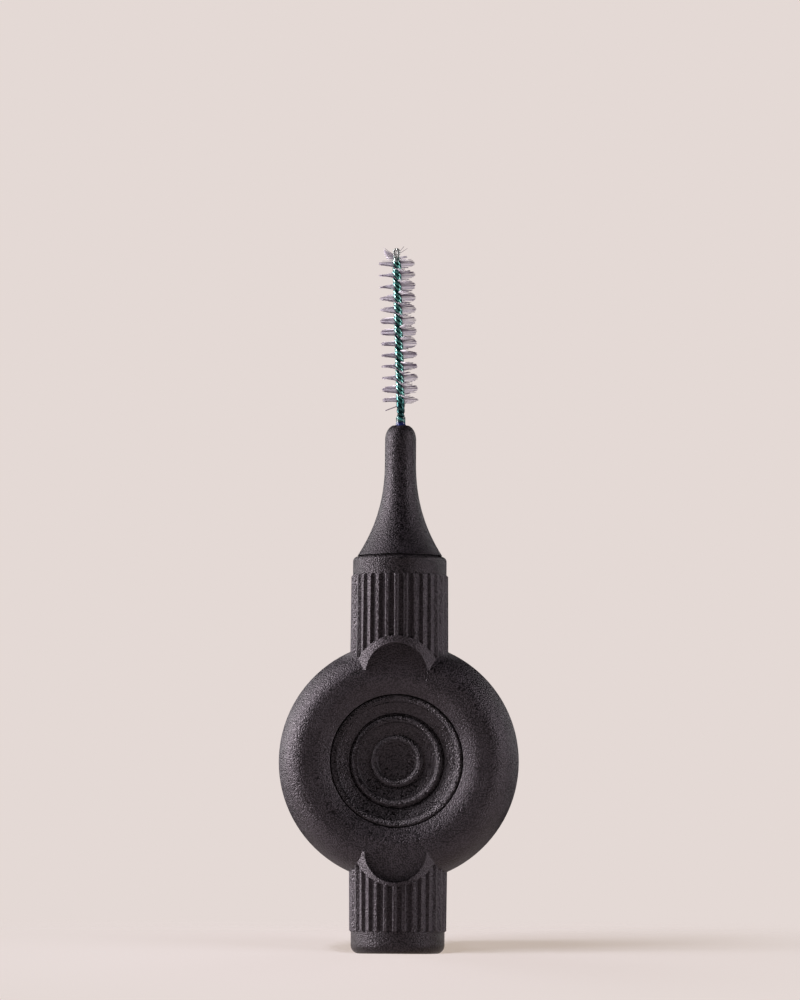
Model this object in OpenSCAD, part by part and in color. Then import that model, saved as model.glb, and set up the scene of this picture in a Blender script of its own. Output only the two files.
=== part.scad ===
// Interdental brush: a twisted-wire brush head that plugs into a short fluted handle with a
// dished thumb disc. +Z is up, the front of the disc faces -Y and the origin is under the foot.

/* [Neck] */
// Neck length from the middle of the disc up to the upper collar
upper_neck_l = 15.84; // [14.6:0.02:18]
// Neck length from the middle of the disc down to the lower collar
lower_neck_l = 14.41; // [13.8:0.01:18]
// Neck diameter at its free end
neck_d = 8.24; // [8.1:0.02:8.8]
// Growth of the neck diameter from its free end to the disc
neck_taper = 0.12; // [0:0.01:0.3]
// Chamfer round the free end of each neck
neck_chamfer = 0.12; // [0.05:0.01:0.2]

/* [Flutes] */
// Number of flutes round a neck
flute_n = 32; // [24:4:36]
// Depth of a flute
flute_depth = 0.24; // [0.12:0.01:0.32]
// Width of a flute at its floor
flute_floor_w = 0.32; // [0.2:0.01:0.42]
// Width of a flute at the neck's surface
flute_mouth_w = 0.62; // [0.5:0.01:0.66]

/* [Disc] */
// Diameter of the disc
disc_d = 20.42; // [19.6:0.02:24]
// Thickness of the disc over its ridges
disc_t = 6.2; // [5.2:0.05:6.4]
// Distance from the rim to the crest of the ridge
rim_w = 2.38; // [1.8:0.02:2.8]
// Width of the flat crest of the ridge
crest_w = 0.53; // [0.2:0.01:0.8]
// Depth from the crest down to the edge of the thumb pad
dish_lip_drop = 0.54; // [0.3:0.02:1.2]
// Thickness of the web between the two pads
web_t = 1.2; // [0.8:0.05:1.6]
// How far a neck reaches in from the rim of the disc
neck_reach = 2.56; // [2.45:0.01:2.7]

/* [Thumb pads] */
// Diameter of a thumb pad
pad_d = 11.16; // [10:0.02:11.2]
// Width of the seam round a pad
seam_w = 0.08; // [0.04:0.01:0.12]
// Drop of the pad's edge below the lip of its recess
pad_edge_drop = 0.08; // [0:0.01:0.2]
// Depth of the pad's dish at its middle
pad_dish = 0.6; // [0.3:0.05:0.9]
// Width of a ring on the pad
ring_w = 0.58; // [0.3:0.01:0.62]
// Height of the middle and the inner ring
ring_h = 0.24; // [0.08:0.01:0.3]
// Height of the outer ring
outer_ring_h = 0.15; // [0.06:0.01:0.2]
// Distance from the pad's edge in to the middle of the outer ring
outer_ring_inset = 0.32; // [0.31:0.01:0.4]
// Radius of the middle ring
middle_ring_r = 3.55; // [3.2:0.01:3.7]
// Radius of the inner ring
inner_ring_r = 1.9; // [1.5:0.01:2.4]
// Width of the fine groove outside the middle ring
fine_groove_w = 0.2; // [0.1:0.01:0.3]
// Radius of the flat at the middle of the pad
pad_flat_r = 0.4; // [0.2:0.05:0.8]
// Diameter of the stud that clips the two pads together
stud_d = 2; // [1.4:0.05:2.6]

/* [Thumb pockets] */
// Diameter of a thumb pocket
pocket_d = 5.2; // [4.6:0.02:5.4]
// Distance from the rim of the disc in to the middle of an upper pocket
upper_pocket_inset = 2.85; // [2.2:0.01:2.9]
// Distance from the rim of the disc in to the middle of a lower pocket
lower_pocket_inset = 2.52; // [2.2:0.01:2.9]
// Depth of the pocket's floor below the crest of the ridge
pocket_step = 0.02; // [0.02:0.01:0.1]
// Diameter of the plain band round a pocket, where the flutes stop
band_d = 7.48; // [6.8:0.02:7.8]
// Distance from the rim of the disc in to the middle of the band
band_inset = 3.4; // [3.1:0.01:3.5]

/* [Collars] */
// Diameter of both collars
collar_d = 7.96; // [7.7:0.02:8.06]
// Height of the upper collar
collar_h = 1.57; // [1.5:0.01:2.6]
// Height of the lower collar, which is the foot
foot_h = 1.84; // [1.4:0.01:2.6]
// Rounding of the upper collar's top edge
collar_round = 0.4; // [0.2:0.01:0.44]
// Rounding of the foot's bottom edge
foot_round = 0.72; // [0.2:0.01:0.8]
// Height of the landing that the nozzle stands on, seen as a dark line
landing_h = 0.1; // [0.06:0.01:0.2]
// Diameter of the landing
landing_d = 6.4; // [6:0.05:6.6]
// Diameter of the shank that holds a collar in its neck
shank_d = 5.4; // [5.2:0.05:5.8]
// Length of the upper collar's shank
upper_shank_l = 5; // [4.8:0.05:5.2]
// Length of the lower collar's shank
lower_shank_l = 3.3; // [2.4:0.05:3.5]

/* [Nozzle] */
// Diameter of the nozzle at its foot
nozzle_base_d = 7.2; // [6.8:0.02:7.3]
// Diameter of the nozzle's straight end
nozzle_tip_d = 2.66; // [2.3:0.02:3]
// Height of the flared part
nozzle_flare_h = 8.14; // [6:0.02:10]
// Height of the straight part
nozzle_neck_h = 1.75; // [1:0.05:3]
// Half the height of the oval that rounds the tip
nozzle_dome_h = 1.29; // [0.8:0.01:1.6]
// Power of the curve of the flare
flare_power = 2.3; // [1.8:0.02:2.6]
// Diameter of the plug under the nozzle
plug_d = 3.8; // [3.2:0.05:4]
// Length of the plug
plug_l = 6.4; // [5:0.05:6.6]
// Clearance of the plug in its socket, all round
plug_fit = 0.05; // [0.03:0.01:0.08]
// Width of the key on the plug
key_w = 0.6; // [0.4:0.05:0.8]
// Height of the key above the plug
key_h = 0.3; // [0.2:0.02:0.34]
// Length of the key
key_l = 1.8; // [1:0.05:2.4]
// Thickness of the seal ring
seal_t = 0.4; // [0.3:0.02:0.5]
// Depth of the seal ring's groove below the plug's surface
seal_groove_d = 0.4; // [0.38:0.01:0.6]

/* [Wire] */
// Diameter of the wire
wire_d = 0.31; // [0.28:0.01:0.32]
// Height of the wire's loop above the nozzle's tip
wire_reach = 15.25; // [12:0.05:18]
// Depth that the wire is moulded in below the nozzle's tip
wire_anchor = 3.6; // [2.5:0.05:4.4]
// Height over which the twist turns once round
twist_pitch = 1.966; // [1.7:0.002:2.4]
// Distance of a strand from the axis where bristles lie between the strands
strand_offset = 0.22; // [0.21:0.005:0.24]
// Distance of a strand from the axis on the bare stem
stem_offset = 0.18; // [0.175:0.001:0.2]
// Radius of the loop at the tip
loop_r = 0.21; // [0.2:0.005:0.3]
// Length of the untwisted legs under the loop
loop_leg = 0.46; // [0.2:0.02:0.8]
// Lean of the brush to the left
stem_lean = 1.86; // [0:0.02:3]

/* [Core] */
// Diameter of the coloured core inside the nozzle
core_d = 1; // [0.9:0.02:1.2]
// Height of the core that shows above the nozzle
core_show = 0.72; // [0.4:0.02:1]
// Diameter of the core where it shows
core_top_d = 0.8; // [0.76:0.01:0.9]
// Diameter of the flare where the core leaves the nozzle
core_flare_d = 1.16; // [1.04:0.01:1.3]
// Height of that flare
core_flare_h = 0.2; // [0.1:0.01:0.3]
// Thickness of the core below the wire's ends
core_floor_t = 0.4; // [0.3:0.05:0.6]

/* [Bristles] */
// Number of bristles along each side of the wire
bristle_n = 176; // [150:2:200]
// Radius of the brush
bristle_r = 1.57; // [1.2:0.01:2.4]
// Thickness of a bristle
bristle_t = 0.05; // [0.04:0.002:0.056]
// Height of bare wire above the nozzle's tip
bare_stem = 1.9; // [1.4:0.05:3]
// Height of the bristles that fan out at the tip
fan_h = 0.5; // [0.2:0.05:0.8]
// Upward tilt of the topmost bristle
fan_tilt = 18; // [0:1:30]
// Downward tilt of the stray bristle at the bottom
stray_tilt = 20; // [0:1:30]

/* [Hidden] */

// Overrun of every cut, and the running gap between seated pieces
over = 1;
fit = 0.03;
// Clearance past the end of a plug, shank or stud in its hole
end_gap = 0.15;
// Facets of round faces, and steps of the curves in revolved outlines
round_fn = 96;
arc_steps = 8;
curve_steps = 20;

disc_r = disc_d / 2;
disc_z = foot_h + lower_neck_l;
crest_y = disc_t / 2;
crest_out_r = disc_r - rim_w;
crest_in_r = crest_out_r - crest_w;
pad_r = pad_d / 2;
outer_ring_r = pad_r - outer_ring_inset;
recess_r = pad_r + seam_w;
lip_y = crest_y - dish_lip_drop;
web_y = web_t / 2;
pad_edge_y = lip_y - pad_edge_drop;
stud_r = stud_d / 2;

neck_r = neck_d / 2;
neck_root_r = neck_r + neck_taper / 2;
neck_in = disc_r - neck_reach;
flute_floor_r = neck_r - flute_depth;
upper_pocket_off = disc_r - upper_pocket_inset;
lower_pocket_off = disc_r - lower_pocket_inset;
pocket_y = crest_y - pocket_step;
band_off = disc_r - band_inset;

collar_r = collar_d / 2;
ledge_z = disc_z + upper_neck_l;
collar_top_z = ledge_z + collar_h;
nozzle_z = collar_top_z + landing_h;
shank_r = shank_d / 2;
plug_r = plug_d / 2;
socket_r = plug_r + plug_fit;
// The key hangs from the plug's root and the seal sits halfway down what is left of the plug
seal_z = nozzle_z - key_l - (plug_l - key_l) / 2;
seal_r = seal_t / 2;
seal_mid_r = socket_r - fit / 2 - seal_r;
seal_groove_r = plug_r - seal_groove_d;
seal_groove_h = seal_t + 2 * fit;

nozzle_base_r = nozzle_base_d / 2;
nozzle_tip_r = nozzle_tip_d / 2;
// The tip is a quarter oval round a small flat, cut off where the core comes out
dome_flat_share = 0.32;
dome_cut_angle = 71;
dome_flat_r = nozzle_tip_r * dome_flat_share;
dome_z = nozzle_z + nozzle_flare_h + nozzle_neck_h;
tip_z = dome_z + nozzle_dome_h * sin(dome_cut_angle);

core_r = core_d / 2;
core_top_r = core_top_d / 2;
core_flare_r = core_flare_d / 2;
wire_r = wire_d / 2;
core_bore_r = stem_offset + wire_r + fit / 2;
wire_z = tip_z - wire_anchor;
core_z = wire_z - core_floor_t;

apex_z = tip_z + wire_reach;
loop_z = apex_z - wire_r - loop_r;
twist_top_z = loop_z - loop_leg;
bristle_z = tip_z + bare_stem;
bristle_top_z = twist_top_z + loop_leg / 2;
// The twist tightens to twice its rate over this height, which ends at the lowest bristles
tighten_h = 0.9 * twist_pitch;
tighten_z = bristle_z + tighten_h / 2;
wire_sides = 6;
rings_per_turn = 10;
loop_rings = 8;
// The slice of packed bristles between the strands
pack_r_share = 0.68;
pack_r = (strand_offset + wire_r) * pack_r_share;
length_wave_share = 0.05;
wave_turn = 137;

black = "#2a272a";

// Points on an oval arc from angle a0 to a1 in n steps
function arc(x, y, rx, ry, a0, a1, n) =
    [for (i = [0:n]) let (a = a0 + (a1 - a0) * i / n) [x + rx * cos(a), y + ry * sin(a)]];

// Half thickness of the disc between its crest and its lip, falling ever more steeply
function dish_y(r) =
    let (share = (r - recess_r) / (crest_in_r - recess_r))
    lip_y + (crest_y - lip_y) * sin(90 * share);

// Height of a rounded bead or groove of half width w at radius r0
function bead(r, r0, w) = abs(r - r0) < w ? sqrt(1 - pow((r - r0) / w, 2)) : 0;

// Surface of a thumb pad: a shallow bowl that carries three rings and a fine groove
function pad_y(r) =
    pad_edge_y - pad_dish * (1 - pow(max(r, pad_flat_r) / pad_r, 2))
    + outer_ring_h * bead(r, outer_ring_r, ring_w / 2)
    + ring_h * bead(r, middle_ring_r, ring_w / 2)
    + ring_h * bead(r, inner_ring_r, ring_w / 2)
    - ring_h / 2 * bead(r, middle_ring_r + (ring_w + fine_groove_w) / 2, fine_groove_w / 2);

// Radii at which a pad's outline is taken, closer together on the rings and the groove
function bead_radii(r0, w) = [for (i = [-4:4]) r0 + w * sin(90 * i / 4)];
pad_radii = concat(
    [0, pad_flat_r, (pad_flat_r + inner_ring_r - ring_w / 2) / 2],
    bead_radii(inner_ring_r, ring_w / 2),
    [(inner_ring_r + middle_ring_r) / 2],
    bead_radii(middle_ring_r, ring_w / 2),
    bead_radii(middle_ring_r + (ring_w + fine_groove_w) / 2 + fit / 2, fine_groove_w / 2),
    [(middle_ring_r + outer_ring_r + fine_groove_w) / 2],
    bead_radii(outer_ring_r, ring_w / 2),
    [pad_r]);

// Radius of the nozzle's flare, from 0 at the straight part to 1 at the foot
function flare_r(share) =
    nozzle_tip_r + (nozzle_base_r - nozzle_tip_r) * pow(share, flare_power);

// Turns of the wire's twist below the loop, counted down: steady, then twice as fast
function turns(z) =
    let (d = tighten_z - z)
    (twist_top_z - max(z, tighten_z)) / twist_pitch
    + (d <= 0 ? 0
       : d < tighten_h ? (d + d * d / (2 * tighten_h)) / twist_pitch
       : (2 * d - tighten_h / 2) / twist_pitch);

// Distance of a strand from the axis, easing from the stem to the bristled part
function offset_at(z) =
    let (share = min(1, max(0, (z - tip_z - bare_stem / 2) / (bare_stem / 2))))
    stem_offset + (strand_offset - stem_offset) * (1 - cos(180 * share)) / 2;

// The wire's axis bends over just above the core and then leans in a straight line
function lean_x(z) =
    let (d = z - tip_z - core_show, bend = bare_stem / 2)
    d <= 0 ? 0 : -tan(stem_lean) * (d < bend ? d * d / (2 * bend) : d - bend / 2);

// A strand's middle and its outward direction at height z, on side 0 or 180
function strand(z, side) =
    let (a = 360 * turns(min(z, twist_top_z)) + side, n = [cos(a), sin(a), 0])
    [[lean_x(z), 0, z] + offset_at(z) * n, n];

// Heights of the rings along one strand, even in turns where the twist is steady or tight
function heights(z0, z1) =
    let (n = ceil((turns(z0) - turns(z1)) * rings_per_turn))
    [for (i = [0:n - 1]) ring_height(turns(z0) - (turns(z0) - turns(z1)) * i / n, z0, z1)];
function ring_height(t, lo, hi) =
    let (mid = (lo + hi) / 2)
    hi - lo < wire_r * 0.01 ? mid : turns(mid) > t ? ring_height(t, mid, hi) : ring_height(t, lo, mid);

// The loop turns from one leg to the other in the plane of the two strands
function loop_point(a) =
    let (n = [cos(a), 0, sin(a)])
    [[lean_x(loop_z), 0, loop_z] + [offset_at(loop_z) * cos(a), 0, loop_r * sin(a)], n];

wire_path = let (up = concat(heights(wire_z, twist_top_z), [twist_top_z]), n = len(up))
    concat(
        [for (z = up) strand(z, 0)],
        [for (i = [0:loop_rings]) loop_point(180 * i / loop_rings)],
        [for (i = [0:n - 1]) strand(up[n - 1 - i], 180)]);

function unit(v) = v / norm(v);
// Direction of the wire at ring i, square to the bottom face at its two ends
function along(path, i) =
    let (last = len(path) - 1)
    i == 0 ? [0, 0, 1] : i == last ? [0, 0, -1] : unit(path[i + 1][0] - path[i - 1][0]);

function ring_points(path, i, r, sides) =
    let (t = along(path, i), n0 = path[i][1], n = unit(n0 - (n0 * t) * t), b = cross(t, n))
    [for (k = [0:sides - 1]) let (a = 360 * k / sides)
        path[i][0] + r * (cos(a) * n + sin(a) * b)];

// One unbroken tube round a path of [middle, outward direction] pairs, made of triangles
module tube(path, r, sides) {
    n = len(path);
    points = [for (i = [0:n - 1]) each ring_points(path, i, r, sides)];
    walls = [for (i = [0:n - 2], k = [0:sides - 1])
        let (a = i * sides + k, b = i * sides + (k + 1) % sides)
        each [[a, a + sides, b], [b, a + sides, b + sides]]];
    first = [for (k = [1:sides - 2]) [0, k, k + 1]];
    last = [for (k = [1:sides - 2])
        let (a = (n - 1) * sides) [a, a + k + 1, a + k]];
    polyhedron(points, concat(walls, first, last));
}

// Places a child on the disc's axis with its Z along the front (1) or the rear (-1)
module facing(side) {
    translate([0, 0, disc_z]) rotate([side * 90, 0, 0]) children();
}

// Places a child at the disc with its Z along the upper (1) or the lower (-1) neck
module towards(side) {
    translate([0, 0, disc_z]) rotate([side > 0 ? 0 : 180, 0, 0]) children();
}

// The ring-shaped disc with a round recess in each face
module disc() {
    face = concat(
        [[0, web_y], [recess_r, web_y]],
        [for (i = [0:curve_steps / 2])
            let (r = recess_r + (crest_in_r - recess_r) * 2 * i / curve_steps) [r, dish_y(r)]],
        arc(crest_out_r, 0, rim_w, crest_y, 90, 0, curve_steps));
    n = len(face);
    rear = [for (i = [1:n - 1]) [face[n - 1 - i][0], -face[n - 1 - i][1]]];
    facing(1) rotate_extrude($fn = round_fn) polygon(concat(face, rear));
}

// Plan of all the flutes of a neck
module flutes_plan() {
    slope = (flute_mouth_w - flute_floor_w) / flute_depth;
    mouth_w = flute_floor_w + slope * (flute_depth + over);
    for (i = [0:flute_n - 1])
        rotate((i + 1 / 2) * 360 / flute_n) translate([flute_floor_r, 0])
            polygon([[0, -flute_floor_w / 2], [flute_depth + over, -mouth_w / 2],
                     [flute_depth + over, mouth_w / 2], [0, flute_floor_w / 2]]);
}

// One fluted neck of length l from the middle of the disc, along +Z
module neck(l) {
    difference() {
        rotate_extrude($fn = round_fn)
            polygon([[0, neck_in], [neck_root_r, neck_in], [neck_r, l - neck_chamfer],
                     [neck_r - neck_chamfer, l], [0, l]]);
        difference() {
            translate([0, 0, neck_in - over]) linear_extrude(l - neck_in + 2 * over) flutes_plan();
            translate([0, 0, band_off]) rotate([90, 0, 0])
                cylinder(h = 2 * (neck_root_r + over), d = band_d, center = true, $fn = round_fn);
        }
    }
}

module pocket_cuts() {
    for (off = [upper_pocket_off, -lower_pocket_off], face_side = [1, -1])
        facing(face_side) translate([0, face_side * off, pocket_y])
            cylinder(h = neck_root_r - pocket_y + over, d = pocket_d, $fn = round_fn);
}

module handle_body() {
    color(black) difference() {
        union() {
            disc();
            towards(1) neck(upper_neck_l);
            towards(-1) neck(lower_neck_l);
        }
        pocket_cuts();
        towards(1) translate([0, 0, upper_neck_l - upper_shank_l - end_gap])
            cylinder(h = upper_shank_l + end_gap + over, r = shank_r + fit, $fn = round_fn);
        towards(-1) translate([0, 0, lower_neck_l - lower_shank_l - end_gap])
            cylinder(h = lower_shank_l + end_gap + over, r = shank_r + fit, $fn = round_fn);
        facing(1) cylinder(h = web_t + 2 * over, r = stud_r + fit, center = true, $fn = round_fn);
    }
}

// A ringed pad from the web out to its dished face
module pad_revolve() {
    rotate_extrude($fn = round_fn)
        polygon(concat([[0, web_y]], [for (r = pad_radii) [r, pad_y(r)]], [[pad_r, web_y]]));
}

// The stud crosses the web and stops in the rear pad
stud_l = web_t + (pad_edge_y - pad_dish - web_y) / 2;

module front_thumb_pad() {
    color(black) facing(1) union() {
        pad_revolve();
        translate([0, 0, web_y - stud_l]) cylinder(h = stud_l + fit, r = stud_r, $fn = round_fn);
    }
}

module rear_thumb_pad() {
    color(black) difference() {
        facing(-1) pad_revolve();
        facing(-1) translate([0, 0, web_y - over])
            cylinder(h = stud_l - web_t + end_gap + over, r = stud_r + fit, $fn = round_fn);
    }
}

// The upper collar is a bush: its shank sits in the neck and its socket takes the plug
module upper_collar() {
    landing_r = landing_d / 2;
    shank_z = ledge_z - upper_shank_l;
    color(black) difference() {
        rotate_extrude($fn = round_fn) polygon(concat(
            [[socket_r, shank_z], [shank_r, shank_z], [shank_r, ledge_z], [collar_r, ledge_z]],
            arc(collar_r - collar_round, collar_top_z - collar_round,
                collar_round, collar_round, 0, 90, arc_steps),
            [[landing_r, collar_top_z], [landing_r, nozzle_z], [socket_r, nozzle_z]]));
        translate([0, -key_w / 2 - fit, nozzle_z - key_l - end_gap])
            cube([plug_r + key_h + fit, key_w + 2 * fit, key_l + end_gap + over]);
    }
}

// The lower collar is the foot, closed underneath
module lower_collar() {
    color(black) rotate_extrude($fn = round_fn) polygon(concat(
        [[0, 0]],
        arc(collar_r - foot_round, foot_round, foot_round, foot_round, -90, 0, arc_steps),
        [[collar_r, foot_h], [shank_r, foot_h], [shank_r, foot_h + lower_shank_l],
         [0, foot_h + lower_shank_l]]));
}

// The flared nozzle with its keyed plug below and the bore for the core from its tip
module brush_nozzle() {
    plug_z = nozzle_z - plug_l;
    bore_r = core_r + fit;
    color(black) union() {
        rotate_extrude($fn = round_fn) polygon(concat(
            [[bore_r, core_z], [0, core_z], [0, plug_z], [plug_r - neck_chamfer, plug_z],
             [plug_r, plug_z + neck_chamfer],
             [plug_r, seal_z - seal_groove_h / 2], [seal_groove_r, seal_z - seal_groove_h / 2],
             [seal_groove_r, seal_z + seal_groove_h / 2], [plug_r, seal_z + seal_groove_h / 2],
             [plug_r, nozzle_z]],
            [for (i = [0:curve_steps]) let (share = 1 - i / curve_steps)
                [flare_r(share), nozzle_z + nozzle_flare_h * (1 - share)]],
            arc(dome_flat_r, dome_z, nozzle_tip_r - dome_flat_r, nozzle_dome_h,
                0, dome_cut_angle, arc_steps + 2),
            [[bore_r, tip_z]]));
        translate([0, -key_w / 2, nozzle_z - key_l]) cube([plug_r + key_h, key_w, key_l + fit]);
    }
}

module plug_seal_ring() {
    color("#555055") translate([0, 0, seal_z]) rotate_extrude($fn = round_fn)
        translate([seal_mid_r, 0]) circle(r = seal_r, $fn = round_fn / 4);
}

// The coloured core is moulded round the wire's ends and shows at the nozzle's tip
module wire_core() {
    color("#24408f") rotate_extrude($fn = round_fn) polygon(concat(
        [[0, core_z], [core_r, core_z], [core_r, tip_z], [core_flare_r, tip_z]],
        [for (i = [1:arc_steps / 2]) let (a = 180 * i / arc_steps)
            [core_flare_r - (core_flare_r - core_top_r) * sin(a), tip_z + core_flare_h * (1 - cos(a))]],
        [[core_top_r, tip_z + core_show], [core_bore_r, tip_z + core_show],
         [core_bore_r, wire_z], [0, wire_z]]));
}

module twisted_wire() {
    color("#2f8f74") tube(wire_path, wire_r, wire_sides);
}

// Height of bristle i, and the way it points: square to the two strands that clamp it
function bristle_height(i) = bristle_z + (bristle_top_z - bristle_z) * i / (bristle_n - 1);
function pack_dir(z) = let (a = 360 * turns(min(z, twist_top_z)) + 90) [cos(a), sin(a), 0];
function bristle_tilt(i) =
    let (share = (bristle_height(i) - bristle_top_z + fan_h) / fan_h)
    i == 0 ? -stray_tilt : share > 0 ? fan_tilt * share : 0;
function bristle_dir(i, side) =
    let (d = side * pack_dir(bristle_height(i)))
    unit(d + [0, 0, tan(stem_lean) * d[0] + tan(bristle_tilt(i))]);
function bristle_reach(i, side) =
    (bristle_r - pack_r) * (1 - length_wave_share * (1 + sin(wave_turn * i + 90 * side)) / 2);

// Corners of the packed slice at height z, anticlockwise from above
function pack_ring(z) =
    let (u = pack_r * pack_dir(z), v = bristle_t / (2 * pack_r) * [-u[1], u[0], 0],
         c = [lean_x(z), 0, z])
    [c + u + v, c - u + v, c - u - v, c + u - v];

function quad(a, b, c, d) = [[a, b, c], [a, c, d]];

// The bristles and the packed slice that the two strands hold, as one body: the slice has two
// rings a bristle, and each bristle grows from the slice's edge between its two rings
module bristle_body() {
    last = 2 * bristle_n - 1;
    rings = [for (i = [0:bristle_n - 1], s = [-1, 1]) pack_ring(bristle_height(i) + s * bristle_t / 2)];
    // Corners of the edge that bristle i grows from, on the pack's side 1 or -1
    function root(i, side) =
        let (k = side > 0 ? 3 : 1, m = side > 0 ? 0 : 2)
        [8 * i + k, 8 * i + 4 + k, 8 * i + 4 + m, 8 * i + m];
    pack_points = [for (ring = rings) each ring];
    tip_points = [for (i = [0:bristle_n - 1], side = [1, -1])
        each [for (p = root(i, side)) pack_points[p] + bristle_reach(i, side) * bristle_dir(i, side)]];
    pack_faces = [for (j = [0:last - 1], k = [0:3])
        if (j % 2 == 1 || k % 2 == 0)
            each quad(4 * j + k, 4 * j + 4 + k, 4 * j + 4 + (k + 1) % 4, 4 * j + (k + 1) % 4)];
    bristle_faces = [for (i = [0:bristle_n - 1], side = [1, -1])
        let (p = root(i, side), t = len(pack_points) + 8 * i + (side > 0 ? 0 : 4))
        each concat(
            quad(t, t + 1, t + 2, t + 3),
            [for (m = [0:3]) each quad(p[m], p[(m + 1) % 4], t + (m + 1) % 4, t + m)])];
    ends = concat(quad(0, 1, 2, 3), quad(4 * last + 3, 4 * last + 2, 4 * last + 1, 4 * last));
    polyhedron(concat(pack_points, tip_points), concat(pack_faces, bristle_faces, ends));
}

module bristles() {
    color("#cfc6dc") bristle_body();
}

handle_body();
front_thumb_pad();
rear_thumb_pad();
upper_collar();
lower_collar();
brush_nozzle();
plug_seal_ring();
wire_core();
twisted_wire();
bristles();
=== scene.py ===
import bpy
import math
from mathutils import Matrix, Vector


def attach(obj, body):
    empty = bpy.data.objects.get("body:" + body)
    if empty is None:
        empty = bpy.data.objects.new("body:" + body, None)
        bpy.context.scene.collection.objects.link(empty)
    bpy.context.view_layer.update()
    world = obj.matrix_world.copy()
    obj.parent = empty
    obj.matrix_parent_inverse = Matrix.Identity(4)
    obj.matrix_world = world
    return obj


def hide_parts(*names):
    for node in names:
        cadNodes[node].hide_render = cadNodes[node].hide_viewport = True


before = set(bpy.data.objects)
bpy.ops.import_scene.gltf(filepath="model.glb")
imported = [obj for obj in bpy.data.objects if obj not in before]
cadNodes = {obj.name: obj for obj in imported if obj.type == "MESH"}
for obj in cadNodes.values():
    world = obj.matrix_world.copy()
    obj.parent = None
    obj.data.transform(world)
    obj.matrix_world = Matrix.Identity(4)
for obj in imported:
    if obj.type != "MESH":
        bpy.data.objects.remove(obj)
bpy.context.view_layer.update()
mm = 0.001
print("frame loaded:", len(cadNodes), "nodes")

# Camera

# Lengths in mm, angles in degrees; the picture is 800 wide and 1000 high
photoView = {
    "side": 4.1,            # the camera stands this far round to the right of the front
    "distance": 510.0,
    "eyeHeight": 1.5,
    "aimHeight": 38.535,
    "aimShift": -0.022,
    "roll": 0.35,           # the top of the brush leans right by this much
    "lens": 270.17,
    "sensor": 36.0,
    "sees": (0.01, 20.0),   # nearest and farthest, in metres
}


def addCamera(view):
    side = math.radians(view["side"])
    place = Vector((math.sin(side), -math.cos(side), 0)) * view["distance"]
    place.z = view["eyeHeight"]
    aim = Vector((math.cos(side), math.sin(side), 0)) * view["aimShift"]
    aim.z = view["aimHeight"]
    turn = (aim - place).to_track_quat("-Z", "Y").to_matrix().to_4x4()
    data = bpy.data.cameras.new("photoCamera")
    data.sensor_fit = "HORIZONTAL"
    data.sensor_width = view["sensor"]
    data.lens = view["lens"]
    data.clip_start, data.clip_end = view["sees"]
    camera = bpy.data.objects.new("photoCamera", data)
    bpy.context.scene.collection.objects.link(camera)
    roll = Matrix.Rotation(math.radians(view["roll"]), 4, "Z")
    camera.matrix_world = Matrix.Translation(place * mm) @ turn @ roll
    bpy.context.scene.camera = camera


addCamera(photoView)
print("camera placed")

# Node helpers


def linear(red, green, blue):
    # A screen colour, 0 to 255, as Blender's linear colour
    def one(value):
        value /= 255
        return value / 12.92 if value <= 0.04045 else ((value + 0.055) / 1.055) ** 2.4
    return one(red), one(green), one(blue), 1


def plug(tree, value, socket):
    # Links a node's output, or sets a plain value
    value = value.socket if isinstance(value, Number) else value
    if isinstance(value, bpy.types.NodeSocket):
        tree.links.new(value, socket)
    else:
        socket.default_value = value


class Number:
    # A number inside a node tree, so that a formula reads as plain arithmetic
    def __init__(self, tree, socket):
        self.tree, self.socket = tree, socket

    def math(self, operation, *others):
        node = self.tree.nodes.new("ShaderNodeMath")
        node.operation = operation
        for socket, value in zip(node.inputs, (self, *others)):
            plug(self.tree, value, socket)
        return Number(self.tree, node.outputs[0])

    def __add__(self, other):
        return self.math("ADD", other)

    def __sub__(self, other):
        return self.math("SUBTRACT", other)

    def __mul__(self, other):
        return self.math("MULTIPLY", other)

    def __truediv__(self, other):
        return self.math("DIVIDE", other)

    def __rsub__(self, other):
        return self * -1.0 + other

    def __rtruediv__(self, other):
        return self.math("POWER", -1.0) * other

    def __neg__(self):
        return self * -1.0

    __radd__ = __add__
    __rmul__ = __mul__

    def sin(self):
        return self.math("SINE")

    def cos(self):
        return self.math("COSINE")

    def atLeast(self, low):
        return self.math("MAXIMUM", low)

    def atMost(self, high):
        return self.math("MINIMUM", high)

    def power(self, exponent):
        return self.math("POWER", exponent)

    def above(self, limit):
        return self.math("GREATER_THAN", limit)

    def ease(self):
        # A straight share from 0 to 1 as a soft S curve
        return 0.5 - (self * math.pi).cos() * 0.5


def addNode(tree, kind, settings=None, **inputs):
    # A node with its settings and its inputs, which are named with _ for a space
    node = tree.nodes.new(kind)
    for name, value in (settings or {}).items():
        setattr(node, name, value)
    for name, value in inputs.items():
        plug(tree, value, node.inputs[name.replace("_", " ")])
    return node


def newGeometryTree(name, inputs):
    # A Geometry Nodes tree with named number inputs; returns the tree and its inputs by name
    tree = bpy.data.node_groups.new(name, "GeometryNodeTree")
    tree.interface.new_socket("Geometry", in_out="INPUT", socket_type="NodeSocketGeometry")
    tree.interface.new_socket("Geometry", in_out="OUTPUT", socket_type="NodeSocketGeometry")
    for label, value in inputs.items():
        kind = "NodeSocketInt" if isinstance(value, int) else "NodeSocketFloat"
        tree.interface.new_socket(label, in_out="INPUT", socket_type=kind)
    start = tree.nodes.new("NodeGroupInput")
    return tree, {label: Number(tree, start.outputs[label]) for label in inputs}


def closeTree(tree, geometry, material):
    # Every tree ends in real geometry with its material
    real = addNode(tree, "GeometryNodeRealizeInstances", Geometry=geometry)
    paint = addNode(tree, "GeometryNodeSetMaterial", Geometry=real.outputs[0])
    paint.inputs["Material"].default_value = material
    end = tree.nodes.new("NodeGroupOutput")
    tree.links.new(paint.outputs[0], end.inputs["Geometry"])


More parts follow.
